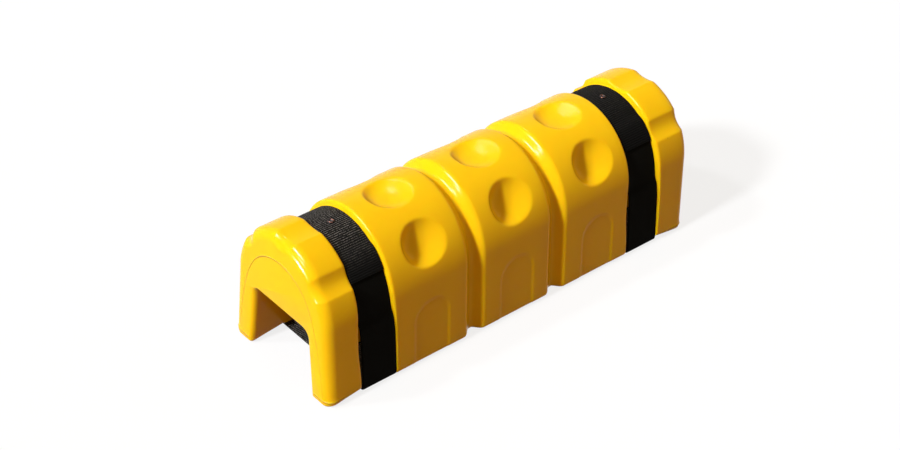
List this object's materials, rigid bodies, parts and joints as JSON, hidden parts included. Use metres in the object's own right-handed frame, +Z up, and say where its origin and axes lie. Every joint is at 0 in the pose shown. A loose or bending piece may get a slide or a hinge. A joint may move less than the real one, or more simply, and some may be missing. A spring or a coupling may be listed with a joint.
{
  "type": "rack column guard",
  "caption": "Blow-moulded yellow channel guard with ribbed collars, dished bumper segments and hook-and-loop straps, for clipping round a storage rack upright.",
  "frame": {"origin": "on the floor under the middle of the guard, which lies on its straps with the channel open below", "axes": "+X along the guard, +Z up out of the crown, +Y across"},
  "size_m": [0.505, 0.1612, 0.1666],
  "materials": {
    "yellow_plastic": "glossy, with a fine moulded grain",
    "black_webbing": "matt, ribbed across its width",
    "black_hook_tape": "matt, fine hooks",
    "rivet_steel": "plain"
  },
  "bodies": {
    "root": {"guard_body": "yellow_plastic", "near_strap_webbing": "black_webbing", "far_strap_webbing": "black_webbing", "near_hook_tape": "black_hook_tape", "far_hook_tape": "black_hook_tape", "near_rivet": "rivet_steel", "far_rivet": "rivet_steel"}
  },
  "joints": []
}
